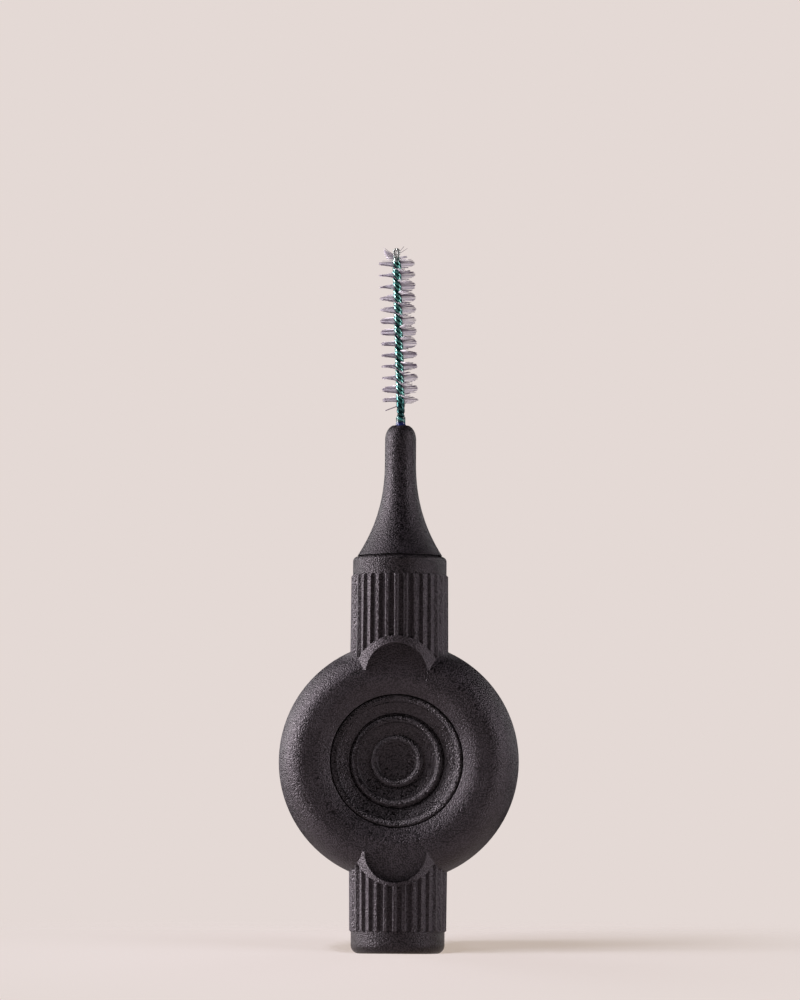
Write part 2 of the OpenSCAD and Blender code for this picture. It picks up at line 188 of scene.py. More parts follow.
def meshFromTree(name, tree, inputs):
    # Runs the tree once and keeps its result as a plain mesh at the origin
    holder = bpy.data.objects.new(name + "Holder", bpy.data.meshes.new(name + "Holder"))
    bpy.context.scene.collection.objects.link(holder)
    modifier = holder.modifiers.new(name, "NODES")
    modifier.node_group = tree
    for item in tree.interface.items_tree:
        if item.in_out == "INPUT" and item.name in inputs:
            modifier[item.identifier] = inputs[item.name]
    bpy.context.view_layer.update()
    graph = bpy.context.evaluated_depsgraph_get()
    mesh = bpy.data.meshes.new_from_object(holder.evaluated_get(graph), depsgraph=graph)
    mesh.name = name
    holder.modifiers.remove(modifier)
    bpy.data.objects.remove(holder)
    piece = bpy.data.objects.new(name, mesh)
    bpy.context.scene.collection.objects.link(piece)
    return piece


def between(first, second, share):
    return first + (second - first) * share


def combine(tree, x, y, z):
    return addNode(tree, "ShaderNodeCombineXYZ", X=x, Y=y, Z=z).outputs[0]


def vectorMath(tree, operation, first, second=None, scale=None):
    node = addNode(tree, "ShaderNodeVectorMath", {"operation": operation})
    plug(tree, first, node.inputs[0])
    if second is not None:
        plug(tree, second, node.inputs[1])
    if scale is not None:
        plug(tree, scale, node.inputs["Scale"])
    return node.outputs[0]


def splitPlace(tree, place):
    # How far a point lies to the right, to the rear and up, in mm
    parts = addNode(tree, "ShaderNodeSeparateXYZ", Vector=place)
    return [Number(tree, parts.outputs[axis]) / mm for axis in "XYZ"]


# Stem

# Heights and lengths in mm, as in the CAD model but for the loop; the core's finish and the bristles
# follow them too
nozzleTip = 44.87
wireAnchor = 3.6        # the wire's ends lie this far under the tip
twistPitch = 1.966
stem = {
    "Nozzle Tip": nozzleTip,
    "Core Show": 0.72,
    "Bare Stem": 1.9,
    "Wire End": nozzleTip - wireAnchor,
    "Twist Top": 59.305,
    "Loop Height": 59.79,
    "Pitch": twistPitch,
    "Tighten Height": twistPitch * 0.9,    # over which the twist gets twice as quick
    "Lean": math.tan(math.radians(1.86)),
}

# Materials

# Colours are screen colours; grain, bump, edge, patches and depths are sizes in mm
softRange = (0.3, 0.7)      # nearly all of a soft noise lies between these
patchRange = (0.35, 0.65)   # a little harder, for patches of colour

# What all the black plastic has in common
blackGrain = {
    "shineTint": (255, 240, 253),   # a faint purple
    "cloudSize": 1.7,
    "cloudTone": 0.2,               # share of the soft clouds in the colour
    "cloudShine": 0.3,              # and in the roughness
    "toneRange": (0.45, 0.56),      # narrow, so that the grains are either black or light
    "lightGrain": 3.1,              # times the plastic's own colour
    "roughSpread": 0.24,
    "edgeSamples": 6,
}
blackPlastic = {
    "handle": {
        "colour": (25, 22, 25), "index": 1.49, "roughness": 0.46,
        "grain": 0.115, "bump": 0.057, "edge": 0.05,
        "neckRadius": (3.8, 3.95),    # the flutes are evened out beyond this distance from the axis
        "neckFrom": (8.4, 9.4),       # and beyond this height over or under the disc's middle
        "even": 0.9,
    },
    "pad": {
        "colour": (22, 20, 22), "index": 1.42, "roughness": 0.36,
        "grain": 0.11, "bump": 0.06, "edge": 0.04,
        "rings": (1.9, 3.55, 5.26),   # radii
        "ringWidth": 0.27,            # half a ring's top
        "ringFacing": (-0.5, 0.2),    # the tops face this far to the side and up, for 1 straight out
        "ringTurn": 1.2,
        "grooveOut": 0.39,            # from a ring's middle to the groove's
        "grooveWidth": 0.13,
        "grooveShine": 0.75,          # how far the groove takes the roughness away
        "bowl": 0.05,
    },
    "collar": {
        "colour": (23, 20, 22), "index": 1.37, "roughness": 0.42,
        "grain": 0.1, "bump": 0.055, "edge": 0.06,
    },
    "nozzle": {
        "colour": (25, 22, 25), "index": 1.37, "roughness": 0.42,
        "grain": 0.1, "bump": 0.042, "edge": 0.06,
    },
}
discHeight = 16.25      # of the disc's middle


def newMaterial(name):
    material = bpy.data.materials.new(name)
    material.use_nodes = True
    tree = material.node_tree
    return material, tree, tree.nodes["Principled BSDF"]


def objectPlace(tree):
    return addNode(tree, "ShaderNodeTexCoord").outputs["Object"]


def attributeShare(tree, name):
    return Number(tree, addNode(tree, "ShaderNodeAttribute", {"attribute_name": name}).outputs["Fac"])


def noise(tree, place, size, detail=2.0):
    # Soft noise from 0 to 1 whose lumps are about size mm across
    lumps = addNode(tree, "ShaderNodeTexNoise", Vector=place, Scale=1 / (size * mm), Detail=detail)
    return Number(tree, lumps.outputs["Fac"])


def rampBetween(tree, share, first, second):
    # The colour sockets of a Mix node share their names with its number sockets
    mix = addNode(tree, "ShaderNodeMix", {"data_type": "RGBA"})
    plug(tree, share, mix.inputs["Factor"])
    colourInputs = [socket for socket in mix.inputs if socket.type == "RGBA"]
    for value, socket in zip((first, second), colourInputs):
        plug(tree, value, socket)
    return [socket for socket in mix.outputs if socket.type == "RGBA"][0]


def mapShare(tree, value, low, high):
    # Where value lies between low and high, held from 0 to 1
    ramp = addNode(tree, "ShaderNodeMapRange", {"clamp": True}, Value=value, From_Min=low, From_Max=high)
    return Number(tree, ramp.outputs["Result"])


def shade(colour, factor):
    return [channel * factor for channel in colour[:3]] + [1]


def roughnessAround(middle, spread, share):
    return share * spread + (middle - spread / 2)


def addBump(tree, shader, depth, height, **inputs):
    bump = addNode(tree, "ShaderNodeBump", Strength=1.0, Distance=depth * mm, Height=height, **inputs)
    plug(tree, bump.outputs["Normal"], shader.inputs["Normal"])


def bendNormal(tree, normal, *pushes):
    for push in pushes:
        normal = vectorMath(tree, "ADD", normal, push)
    return vectorMath(tree, "NORMALIZE", normal)


def evenFlutes(tree, normal, across, depth, up, look):
    # The flutes are worn: their walls are shaded partly as if the neck were round
    radius = (across * across + depth * depth).power(0.5)
    share = mapShare(tree, radius, *look["neckRadius"])
    share = share * mapShare(tree, up.math("ABSOLUTE"), *look["neckFrom"])
    outward = vectorMath(tree, "NORMALIZE", combine(tree, across, depth, 0.0))
    return bendNormal(tree, normal, vectorMath(tree, "SCALE", outward, scale=share * look["even"]))


def hump(distance, width):
    # 1 in the middle, falling to 0 at width on either side
    out = distance / width
    return (1.0 - out * out).atLeast(0.0)


def shadeRings(tree, normal, rough, across, depth, up, look):
    # The tops of a pad's rings are flat and catch the light, and a dark groove runs outside each ring
    radius = (across * across + up * up).power(0.5)
    top = sum(hump(radius - ring, look["ringWidth"]) for ring in look["rings"])
    groove = sum(hump(radius - ring - look["grooveOut"], look["grooveWidth"]) for ring in look["rings"])
    bowl = combine(tree, across * -look["bowl"], 0.0, up * -look["bowl"])
    side, rise = look["ringFacing"]
    facing = vectorMath(tree, "NORMALIZE", combine(tree, side, depth.math("SIGN"), rise))
    facing = vectorMath(tree, "SCALE", facing, scale=top * look["ringTurn"])
    return bendNormal(tree, normal, bowl, facing), rough * (1.0 - groove * look["grooveShine"])


def makeBlackPlastic(name, look, common):
    material, tree, shader = newMaterial(name)
    place = objectPlace(tree)
    grain = noise(tree, place, look["grain"], detail=0.0)
    cloud = noise(tree, place, common["cloudSize"])
    tone = mapShare(tree, between(grain, cloud, common["cloudTone"]), *common["toneRange"])
    light = shade(linear(*look["colour"]), common["lightGrain"])
    plug(tree, rampBetween(tree, tone, linear(0, 0, 0), light), shader.inputs["Base Color"])
    shine = mapShare(tree, between(grain, cloud, common["cloudShine"]), *softRange)
    rough = roughnessAround(look["roughness"], common["roughSpread"], shine)
    shader.inputs["IOR"].default_value = look["index"]
    shader.inputs["Specular Tint"].default_value = linear(*common["shineTint"])
    softEdge = addNode(tree, "ShaderNodeBevel", {"samples": common["edgeSamples"]}, Radius=look["edge"] * mm)
    normal = softEdge.outputs["Normal"]
    across, depth, height = splitPlace(tree, place)
    if "even" in look:
        normal = evenFlutes(tree, normal, across, depth, height - discHeight, look)
    if "rings" in look:
        normal, rough = shadeRings(tree, normal, rough, across, depth, height - discHeight, look)
    plug(tree, rough, shader.inputs["Roughness"])
    addBump(tree, shader, look["bump"], grain, Normal=normal)
    return material


wireLook = {
    "coat": (60, 140, 130),
    "coatDeep": (10, 60, 62),
    "coatPatch": 0.22,
    "coatMetallic": 0.85,
    "lines": 2.0,               # fine lines along a strand: a bump, with painted highlight lines in the colour
    "linesFrom": (46.6, 47.4),  # they come in between these heights, above the bare stem
    "linePaintedHighlight": (160, 208, 200),
    "lineTone": 0.4,            # share of the lines in the coat's own patches
    "lineSharpness": 5.0,
    "lineHighlightShare": 0.6,
    "lineDepth": 0.03,
    "bare": (196, 198, 196),    # steel
    "bareFrom": (59.0, 59.4),   # the coat wears off between these heights, towards the loop
    "bareRagged": 1.6,          # how far the coat's edge wanders up and down, in mm
    "bareMetallic": 0.65,
    "bareRoughness": 0.3,
    "mottle": 0.35,
    "roughness": 0.2,
    "roughSpread": 0.1,
    "varnish": 0.3,
    "varnishRoughness": 0.15,
}


def makeCoatedWire(look):
    material, tree, shader = newMaterial("coatedWire")
    place = objectPlace(tree)
    height = splitPlace(tree, place)[2]
    mottle = noise(tree, place, look["mottle"])
    bare = mapShare(tree, height + (mottle - 0.5) * look["bareRagged"], *look["bareFrom"])
    across = attributeShare(tree, "strandAcross")
    line = 0.5 - (across * (math.pi * look["lines"])).cos() * 0.5
    line = line * mapShare(tree, height, *look["linesFrom"])
    patch = between(noise(tree, place, look["coatPatch"]), line, look["lineTone"])
    patch = mapShare(tree, patch, *patchRange)
    green = rampBetween(tree, patch, linear(*look["coatDeep"]), linear(*look["coat"]))
    # painted highlight: pale thin lines along the strands
    paintedHighlight = line.power(look["lineSharpness"]) * look["lineHighlightShare"]
    green = rampBetween(tree, paintedHighlight, green, linear(*look["linePaintedHighlight"]))
    plug(tree, rampBetween(tree, bare, green, linear(*look["bare"])), shader.inputs["Base Color"])
    plug(tree, between(look["coatMetallic"], look["bareMetallic"], bare), shader.inputs["Metallic"])
    rough = roughnessAround(look["roughness"], look["roughSpread"], mapShare(tree, mottle, *softRange))
    plug(tree, rough + bare * (look["bareRoughness"] - look["roughness"]), shader.inputs["Roughness"])
    addBump(tree, shader, look["lineDepth"], line)
    shader.inputs["Coat Weight"].default_value = look["varnish"]
    shader.inputs["Coat Roughness"].default_value = look["varnishRoughness"]
    return material


coreLook = {
    "colour": (8, 17, 62),
    "light": (22, 40, 112),
    "patch": 0.3,
    "green": (4, 38, 46),
    "greenLight": (60, 132, 128),
    "greenFrom": (45.1, 45.2),  # the wire's coat and twist run on over the core above these heights
    "top": stem["Nozzle Tip"] + stem["Core Show"],
    "topAngle": 0.479,          # angle of a strand at the core's top, in radians
    "pitch": stem["Pitch"] / 2,
    "strandSharpness": 2.0,
    "twistDepth": 0.1,
    "mottle": 0.15,
    "roughness": 0.3,
    "roughSpread": 0.08,
    "varnish": 0.3,
    "varnishRoughness": 0.15,
}


def makeBlueCore(look):
    material, tree, shader = newMaterial("blueCore")
    place = objectPlace(tree)
    patch = mapShare(tree, noise(tree, place, look["patch"]), *patchRange)
    blue = rampBetween(tree, patch, linear(*look["colour"]), linear(*look["light"]))
    across, depth, height = splitPlace(tree, place)
    turn = (look["top"] - height) * (2 * math.pi / look["pitch"]) + look["topAngle"]
    strand = ((depth.math("ARCTAN2", across) - turn) * 2.0).cos() * 0.5 + 0.5
    run = mapShare(tree, height, *look["greenFrom"])
    # painted highlight and shade: the painted strands are lighter along their middles and darker in the gaps
    # between them
    tone = strand.power(look["strandSharpness"])
    green = rampBetween(tree, tone, linear(*look["green"]), linear(*look["greenLight"]))
    plug(tree, rampBetween(tree, run, blue, green), shader.inputs["Base Color"])
    mottle = mapShare(tree, noise(tree, place, look["mottle"]), *softRange)
    plug(tree, roughnessAround(look["roughness"], look["roughSpread"], mottle), shader.inputs["Roughness"])
    addBump(tree, shader, look["twistDepth"], strand)
    shader.inputs["Coat Weight"].default_value = look["varnish"]
    shader.inputs["Coat Roughness"].default_value = look["varnishRoughness"]
    return material


nylonLook = {
    "dark": (92, 80, 96),
    "light": (236, 228, 238),
    "patch": 0.12,
    "patchShare": 0.4,
    "mottle": 0.08,
    "roughness": 0.34,
    "roughSpread": 0.1,
    "index": 1.5,
    "glow": 0.18,           # painted glow: emission that stands in for light from behind coming through the clear nylon
}


def makeNylon(look):
    material, tree, shader = newMaterial("clearNylon")
    place = objectPlace(tree)
    patch = noise(tree, place, look["patch"], detail=1.0) - 0.5
    tone = attributeShare(tree, "tone") + patch * look["patchShare"]
    colour = rampBetween(tree, tone, linear(*look["dark"]), linear(*look["light"]))
    plug(tree, colour, shader.inputs["Base Color"])
    mottle = mapShare(tree, noise(tree, place, look["mottle"]), *softRange)
    plug(tree, roughnessAround(look["roughness"], look["roughSpread"], mottle), shader.inputs["Roughness"])
    shader.inputs["IOR"].default_value = look["index"]
    # painted glow: the nylon emits its own colour, standing in for light shining through it
    plug(tree, colour, shader.inputs["Emission Color"])
    shader.inputs["Emission Strength"].default_value = look["glow"]
    return material


sealLook = {
    "colour": (30, 30, 32),
    "speckle": 0.1,
    "speckleTone": 0.7,     # of the dark specks, times the rubber's colour
    "speckleDepth": 0.004,
    "roughness": 0.6,
    "roughSpread": 0.12,
}


def makeRubber(look):
    material, tree, shader = newMaterial("sealRubber")
    speckle = noise(tree, objectPlace(tree), look["speckle"])
    light = linear(*look["colour"])
    dark = shade(light, look["speckleTone"])
    plug(tree, rampBetween(tree, speckle, dark, light), shader.inputs["Base Color"])
    plug(tree, roughnessAround(look["roughness"], look["roughSpread"], speckle), shader.inputs["Roughness"])
    addBump(tree, shader, look["speckleDepth"], speckle)
    return material


plastics = {piece: makeBlackPlastic(piece + "Plastic", look, blackGrain)
            for piece, look in blackPlastic.items()}
wireMaterial = makeCoatedWire(wireLook)
nylonMaterial = makeNylon(nylonLook)
nodeMaterials = {
    "handle_body": plastics["handle"],
    "front_thumb_pad": plastics["pad"],
    "rear_thumb_pad": plastics["pad"],
    "upper_collar": plastics["collar"],
    "lower_collar": plastics["collar"],
    "brush_nozzle": plastics["nozzle"],
    "plug_seal_ring": makeRubber(sealLook),
    "wire_core": makeBlueCore(coreLook),
}
for nodeName, nodeMaterial in nodeMaterials.items():
    slots = cadNodes[nodeName].data.materials
    slots.clear()
    slots.append(nodeMaterial)
print("materials made")

# Twisted wire

# Sizes in mm
wire = {
    "Strand Offset": 0.185,   # from the axis to a strand's middle
    "Stem Offset": 0.15,
    "Wire Depth": 0.19,       # half the wire's size out from the axis
    "Wire Width": 0.3,        # half its size round the axis, where the twist presses it flat
    "Stem Width": 0.19,
    "Leg Depth": 0.142,       # half the wire's size in the loop and its legs
    "Loop Radius": 0.185,
    "Loop Offset": 0.185,
    "Leg Offset": 0.145,
    "Leg Height": 0.3,
    "Rings": 900,
    "Sides": 16,
}


def twistTurns(given, height):
    # Turns of the twist below the loop, counted down: steady, then twice as fast at the root
    tighten = given["Tighten Height"]
    tightenTop = given["Nozzle Tip"] + given["Bare Stem"] + tighten / 2.0
    drop = tightenTop - height
    eased = drop.atLeast(0.0).atMost(tighten)
    steady = given["Twist Top"] - height.atLeast(tightenTop)
    quick = eased + eased * eased / (tighten * 2.0) + (drop - tighten).atLeast(0.0) * 2.0
    return (steady + quick) / given["Pitch"]


def stemLean(given, height):
    # The wire's axis bends over just above the core and then leans in a straight line
    bend = given["Bare Stem"] / 2.0
    rise = height - given["Nozzle Tip"] - given["Core Show"]
    eased = rise.atLeast(0.0).atMost(bend)
    return -(eased * eased / (bend * 2.0) + (rise - bend).atLeast(0.0)) * given["Lean"]


def stemShare(given, height):
    # 0 on the bare stem, easing to 1 where the bristles are
    bend = given["Bare Stem"] / 2.0
    return ((height - given["Nozzle Tip"] - bend) / bend).atLeast(0.0).atMost(1.0).ease()


def riseTo(height, top, span):
    # 0 below the last span under a height, easing to 1 at that height
    return ((height - top) / span + 1.0).atLeast(0.0).atMost(1.0).ease()


def keep(tree, geometry, name, kind, value):
    # Stores a value on every point under a name, to be read again further down or by a material
    node = addNode(tree, "GeometryNodeStoreNamedAttribute", {"data_type": kind}, Geometry=geometry, Name=name)
    plug(tree, value, node.inputs["Value"])
    return node.outputs[0]


def kept(tree, name, kind):
    node = addNode(tree, "GeometryNodeInputNamedAttribute", {"data_type": kind}, Name=name)
    return node.outputs["Attribute"]


def buildWireTree():
    sizes = {**stem, **wire}
    tree, given = newGeometryTree("twistedWireTree", sizes)
    rings = given["Rings"]
    line = addNode(tree, "GeometryNodeMeshLine", Count=rings)
    index = Number(tree, addNode(tree, "GeometryNodeInputIndex").outputs[0])
    along = index / (rings - 1.0) * 2.0 - 1.0          # -1 at one wire end, 0 at the loop, 1 at the other
    side = along.above(0.0)
    legs = given["Loop Height"] - given["Wire End"]
    travel = (1.0 - along.math("ABSOLUTE")) * (legs + given["Loop Radius"] * (math.pi / 2))
    height = given["Wire End"] + travel.atMost(legs)
    bend = (travel - legs).atLeast(0.0) / given["Loop Radius"]
    turn = (twistTurns(given, height.atMost(given["Twist Top"])) * 2.0 + side) * math.pi
    # the strands close up over the twist and open again into the loop
    loopShare = riseTo(height, given["Loop Height"], given["Leg Height"])
    legShare = riseTo(height, given["Twist Top"], given["Leg Height"])
    offset = between(given["Stem Offset"], given["Strand Offset"], stemShare(given, height))
    offset = between(between(offset, given["Leg Offset"], legShare), given["Loop Offset"], loopShare)
    reach = offset * bend.cos()
    place = combine(tree,
                    (stemLean(given, height) + reach * turn.cos()) * mm,
                    reach * turn.sin() * mm,
                    (height + given["Loop Radius"] * bend.sin()) * mm)
    moved = addNode(tree, "GeometryNodeSetPosition", Geometry=line.outputs[0], Position=place)
    curve = addNode(tree, "GeometryNodeMeshToCurve", Mesh=moved.outputs[0]).outputs[0]
    # across the strand: round the axis and along the slope of the twist
    slope = offset * (1.0 - legShare) * (2 * math.pi) / given["Pitch"]
    across = vectorMath(tree, "NORMALIZE", combine(tree, -turn.sin(), turn.cos(), slope))
    width = between(given["Stem Width"], given["Wire Width"], stemShare(given, height))
    stretch = between(width / given["Wire Depth"], 1.0, legShare) - 1.0
    thin = between(1.0, given["Leg Depth"] / given["Wire Depth"], legShare)
    curve = keep(tree, curve, "thin", "FLOAT", thin)
    curve = keep(tree, curve, "middle", "FLOAT_VECTOR", place)
    curve = keep(tree, curve, "across", "FLOAT_VECTOR", vectorMath(tree, "SCALE", across, scale=stretch))
    curve = keep(tree, curve, "acrossUnit", "FLOAT_VECTOR", across)
    section = addNode(tree, "GeometryNodeCurvePrimitiveCircle", Resolution=given["Sides"],
                      Radius=given["Wire Depth"] * mm)
    tube = addNode(tree, "GeometryNodeCurveToMesh", Curve=curve, Profile_Curve=section.outputs[0],
                   Scale=kept(tree, "thin", "FLOAT"), Fill_Caps=True)
    spot = addNode(tree, "GeometryNodeInputPosition").outputs[0]
    out = vectorMath(tree, "SUBTRACT", spot, kept(tree, "middle", "FLOAT_VECTOR"))
    far = addNode(tree, "ShaderNodeVectorMath", {"operation": "DOT_PRODUCT"})
    plug(tree, out, far.inputs[0])
    plug(tree, kept(tree, "acrossUnit", "FLOAT_VECTOR"), far.inputs[1])
    share = Number(tree, far.outputs["Value"]) / (given["Wire Depth"] * mm)
    strand = keep(tree, tube.outputs[0], "strandAcross", "FLOAT", share)
    push = vectorMath(tree, "SCALE", kept(tree, "across", "FLOAT_VECTOR"), scale=far.outputs["Value"])
    flat = addNode(tree, "GeometryNodeSetPosition", Geometry=strand, Offset=push)
    smooth = addNode(tree, "GeometryNodeSetShadeSmooth", Geometry=flat.outputs[0])
    closeTree(tree, smooth.outputs[0], wireMaterial)
    return tree, sizes


wirePiece = meshFromTree("twistedWireStrands", *buildWireTree())
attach(wirePiece, "brush_head")
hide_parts("twisted_wire")
print("wire made:", len(wirePiece.data.polygons), "faces")

# Bristles

bristle = {
    "Count": 1200,
    "Bottom": 46.8,
    "Top": 59.05,
    "Reach": 1.56,
    "Root": 0.04,
    "Radius": 0.021,
    "Sides": 5,
    "Segments": 4,
    "Left Width": 0.72,       # share of the height that a row fills on the left, and on the right
    "Right Width": 0.88,
    "Width Spread": 0.22,
    "Loose Share": 0.08,      # share of the bristles that stand outside the rows
    "Gather": 0.35,           # how far the ends of a row draw together
    "Gather Least": -0.2,     # times that, for one row and another
    "Gather Most": 1.6,
    "Side Turn": 0.14,        # how far bristles turn towards the middle of their row
    "Turn Spread": 5.0,       # degrees
    "Tilt Spread": 2.5,
    "Row Tilt": 2.5,
    "Length Spread": 0.07,
    "Curl": 0.06,
    "Curl Size": 0.5,
    "Painted Light Bands": 1.5,        # waves of painted highlight and shade down a row
    "Painted Light Depth": 0.4,
    "Painted Light Shift": 0.4,
    "Tone Least": 0.15,       # of single bristles
    "Tone Most": 0.85,
    "Dark Ends": 0.7,
    "Dark Sharpness": 4.0,
    "Seed": 7,
}
# Bristles outside the rows; the angle is 180 on the left, and reach and tilt grow together
looseBristles = {
    "tipWedge": {"count": 46, "height": (59.1, 59.42), "angle": 180, "turn": 14, "tilt": (-6, 36),
                 "reach": (0.72, 1.36), "tone": (0.2, 0.9)},
    "tipRight": {"count": 16, "height": (59.05, 59.4), "angle": 0, "turn": 24, "tilt": (-10, 12),
                 "reach": (0.7, 0.95), "tone": (0.2, 0.9)},
    "tipHairs": {"count": 2, "height": (59.42, 59.5), "angle": 0, "turn": 4, "tilt": (32, 50),
                 "reach": (1.1, 0.98), "tone": (0, 0.3)},
    "strayHair": {"count": 3, "height": (46.62, 46.68), "angle": 180, "turn": 2, "tilt": (-18, -18),
                  "reach": (1.4, 1.38), "tone": (0, 0.2)},
}


def randomBetween(tree, low, high, seed, group=None):
    # A fixed random number for each point, or one for all points of a group
    node = addNode(tree, "FunctionNodeRandomValue", {"data_type": "FLOAT"})
    sockets = [socket for socket in node.inputs if socket.type == "VALUE"]
    plug(tree, low, sockets[0])
    plug(tree, high, sockets[1])
    plug(tree, seed, node.inputs["Seed"])
    if group is not None:
        plug(tree, group, node.inputs["ID"])
    return Number(tree, [socket for socket in node.outputs if socket.type == "VALUE"][0])


def bristleShape(tree, given):
    # One bristle, 1 mm long, along X
    rod = addNode(tree, "GeometryNodeMeshCylinder", {"fill_type": "NGON"}, Vertices=given["Sides"],
                  Side_Segments=given["Segments"], Radius=given["Radius"] * mm, Depth=mm)
    laid = addNode(tree, "GeometryNodeTransform", Geometry=rod.outputs["Mesh"])
    laid.inputs["Rotation"].default_value = (0, math.pi / 2, 0)
    laid.inputs["Translation"].default_value = (mm / 2, 0, 0)
    return laid.outputs[0]


def plantBristles(tree, given, geometry, height, angle, rise, length, tone):
    # Stands a bristle on the axis at each point, turned and tilted its own way
    upward = rise + given["Lean"] * angle.cos()
    direction = vectorMath(tree, "NORMALIZE", combine(tree, angle.cos(), angle.sin(), upward))
    axis = combine(tree, stemLean(given, height) * mm, 0.0, height * mm)
    start = vectorMath(tree, "ADD", axis, vectorMath(tree, "SCALE", direction, scale=given["Root"] * mm))
    moved = addNode(tree, "GeometryNodeSetPosition", Geometry=geometry, Position=start)
    points = addNode(tree, "GeometryNodeMeshToPoints", Mesh=moved.outputs[0])
    toned = keep(tree, points.outputs[0], "tone", "FLOAT", tone)
    aim = addNode(tree, "FunctionNodeAlignRotationToVector", {"axis": "X"}, Vector=direction)
    placed = addNode(tree, "GeometryNodeInstanceOnPoints", Points=toned, Instance=bristleShape(tree, given),
                     Rotation=aim.outputs[0], Scale=combine(tree, length - given["Root"], 1.0, 1.0))
    return addNode(tree, "GeometryNodeRealizeInstances", Geometry=placed.outputs[0]).outputs[0]


def bristleRows(tree, given):
    # The twist leads the bristles round in a screw, and they bunch into rows on its two sides
    count, seed = given["Count"], given["Seed"]
    line = addNode(tree, "GeometryNodeMeshLine", Count=count)
    index = Number(tree, addNode(tree, "GeometryNodeInputIndex").outputs[0])
    even = given["Bottom"] + (given["Top"] - given["Bottom"]) * (index + 0.5) / count
    side = index.math("MODULO", 2.0) + 0.5
    turn = twistTurns(given, even) * 2.0 + side
    row = turn.math("ROUND")
    rightRow = 1.0 - row.math("MODULO", 2.0)
    inRow = turn - row                                   # -0.5 at the row's upper edge, 0.5 at its lower
    spread = given["Width Spread"]
    width = between(given["Left Width"], given["Right Width"], rightRow)
    width = width * (randomBetween(tree, -1.0, 1.0, seed + 1.0, row) * spread + 1.0)
    loose = 1.0 - randomBetween(tree, 0.0, 1.0, seed + 2.0).above(given["Loose Share"])
    width = width.atLeast(loose)
    height = even + given["Pitch"] / 2.0 * (1.0 - width) * inRow
    angle = (twistTurns(given, height) * 2.0 + side) * math.pi
    sideTurn = given["Side Turn"] * randomBetween(tree, 0.0, 2.0, seed + 3.0, row)
    turnSpread = given["Turn Spread"] * (math.pi / 180)
    angle = angle - sideTurn * (angle * 2.0).sin() + randomBetween(tree, -turnSpread, turnSpread, seed + 4.0)
    reach = given["Reach"] * (randomBetween(tree, -1.0, 0.0, seed + 5.0) * given["Length Spread"] + 1.0)
    gather = randomBetween(tree, given["Gather Least"], given["Gather Most"], seed + 6.0, row)
    gather = given["Gather"] * gather
    tilt = (randomBetween(tree, -1.0, 1.0, seed + 7.0) * given["Tilt Spread"]
            + randomBetween(tree, -1.0, 1.0, seed + 8.0, row) * given["Row Tilt"]) * (math.pi / 180)
    rise = tilt + gather * width * inRow * given["Pitch"] / (reach * 2.0)
    # painted highlight and shade: from its upper edge down a row is white, dark, light and dark again
    shift = randomBetween(tree, -given["Painted Light Shift"], given["Painted Light Shift"], seed + 9.0, row)
    tone = (inRow * given["Painted Light Bands"] * (2 * math.pi) + shift).sin() * given["Painted Light Depth"]
    tone = tone + randomBetween(tree, given["Tone Least"], given["Tone Most"], seed + 10.0)
    return plantBristles(tree, given, line.outputs[0], height, angle, rise, reach, tone)


def looseBunch(tree, given, look, number):
    seed = given["Seed"] + (20.0 + 5.0 * number)
    line = addNode(tree, "GeometryNodeMeshLine", Count=look["count"])
    share = Number(tree, addNode(tree, "GeometryNodeInputIndex").outputs[0]) / max(1.0, look["count"] - 1.0)
    height = randomBetween(tree, *look["height"], seed + 1.0)
    middle, turn = math.radians(look["angle"]), math.radians(look["turn"])
    angle = randomBetween(tree, middle - turn, middle + turn, seed + 2.0)
    rise = ((look["tilt"][0] + share * (look["tilt"][1] - look["tilt"][0])) * (math.pi / 180)).math("TANGENT")
    length = look["reach"][0] + share * (look["reach"][1] - look["reach"][0])
    tone = randomBetween(tree, *look["tone"], seed + 3.0)
    return plantBristles(tree, given, line.outputs[0], height, angle, rise, length, tone)


def buildBristleTree():
    sizes = {**stem, **bristle}
    tree, given = newGeometryTree("bristleTree", sizes)
    joined = tree.nodes.new("GeometryNodeJoinGeometry")
    bunches = [looseBunch(tree, given, look, number) for number, look in enumerate(looseBristles.values())]
    for geometry in [bristleRows(tree, given)] + bunches:
        tree.links.new(geometry, joined.inputs[0])
    # neighbouring bristles bend together, more so towards their ends
    spot = addNode(tree, "GeometryNodeInputPosition").outputs[0]
    wave = addNode(tree, "ShaderNodeTexNoise", {"noise_dimensions": "4D"}, Vector=spot, W=given["Seed"] * 1.7,
                   Scale=1.0 / (given["Curl Size"] * mm), Detail=1.0).outputs["Color"]
    wave = vectorMath(tree, "SUBTRACT", wave, (0.5, 0.5, 0.5))
    across, depth, height = splitPlace(tree, spot)
    across = across - stemLean(given, height)
    out = (across * across + depth * depth) / (given["Reach"] * given["Reach"])
    push = vectorMath(tree, "SCALE", wave, scale=out * given["Curl"] * (2 * mm))
    bent = addNode(tree, "GeometryNodeSetPosition", Geometry=joined.outputs[0], Offset=push)
    # the bristles are made darker towards their ends
    tone = Number(tree, kept(tree, "tone", "FLOAT")) - out.power(given["Dark Sharpness"]) * given["Dark Ends"]
    toned = keep(tree, bent.outputs[0], "tone", "FLOAT", tone)
    smooth = addNode(tree, "GeometryNodeSetShadeSmooth", Geometry=toned)
    closeTree(tree, smooth.outputs[0], nylonMaterial)
    return tree, sizes


bristlePiece = meshFromTree("nylonBristles", *buildBristleTree())
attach(bristlePiece, "brush_head")
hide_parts("bristles")
print("bristles made:", len(bristlePiece.data.polygons), "faces")

# Studio

